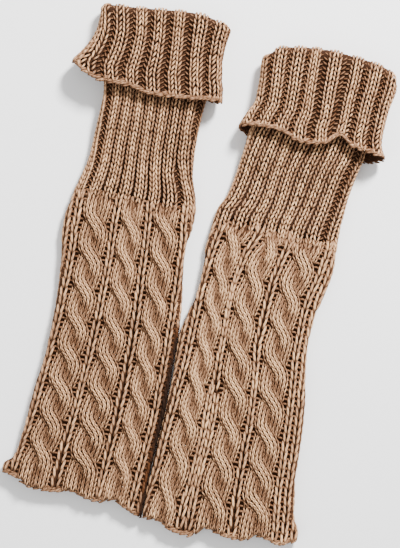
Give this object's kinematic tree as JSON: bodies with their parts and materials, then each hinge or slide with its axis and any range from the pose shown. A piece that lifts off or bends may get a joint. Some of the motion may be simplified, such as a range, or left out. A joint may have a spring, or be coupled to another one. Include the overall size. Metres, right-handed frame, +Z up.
{
  "type": "pair of leg warmers",
  "caption": "Pair of cable-knit leg warmers laid flat side by side, each a knitted tube with rope cables, a ribbed neck and a turned-down ribbed cuff.",
  "frame": {"origin": "middle of the pair's footprint, on the surface it lies on", "axes": "+X to the right of the pair as seen from above, +Y from the hems towards the turned cuffs, +Z up from the surface"},
  "size_m": [0.3404, 0.4643, 0.0235],
  "materials": {
    "left_knit": "soft camel-beige plied yarn, matt with a faint halo",
    "right_knit": "soft camel-beige plied yarn, matt with a faint halo"
  },
  "bodies": {
    "root": {"left_cabled_leg": "left_knit", "left_ribbed_neck": "left_knit", "left_turned_cuff": "left_knit", "right_cabled_leg": "right_knit", "right_ribbed_neck": "right_knit", "right_turned_cuff": "right_knit"}
  },
  "joints": []
}
